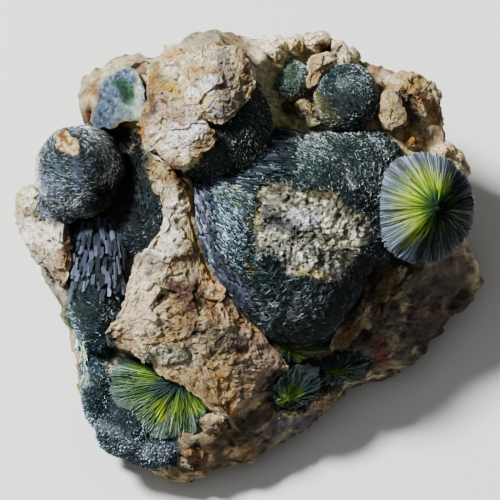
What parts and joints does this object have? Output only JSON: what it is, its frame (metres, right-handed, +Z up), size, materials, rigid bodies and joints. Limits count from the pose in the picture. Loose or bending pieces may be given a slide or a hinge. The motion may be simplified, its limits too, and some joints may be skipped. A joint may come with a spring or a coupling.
{
  "type": "wavellite specimen",
  "caption": "Wavellite mineral specimen: dark green spherules and broken radiating crystal fans in sockets of a rough pale host rock, on a flat resting face.",
  "frame": {"origin": "middle of the flat face that the rock rests on", "axes": "+Z up from the resting face, +X to the right of the display face, +Y away from the viewer"},
  "size_m": [0.0475, 0.0423, 0.0318],
  "materials": {
    "host_rock": "rough pale host rock with rust and grey stains",
    "dark_crystal": "fine dark teal crystal druse with glassy glints",
    "green_crystal": "radiating yellow-green crystals, silky to glassy",
    "mint_crystal": "pale mint and blue-grey cut crystal section"
  },
  "bodies": {
    "root": {"matrix_rock": "host_rock", "great_spherule": "dark_crystal", "capped_spherule": "dark_crystal", "round_spherule": "dark_crystal", "small_spherule": "dark_crystal", "left_spherules": "dark_crystal", "sunburst_spherule": "green_crystal", "fan_spherule": "green_crystal", "small_fan_1": "green_crystal", "small_fan_2": "green_crystal", "small_fan_3": "green_crystal", "mint_spherule": "mint_crystal"}
  },
  "joints": []
}
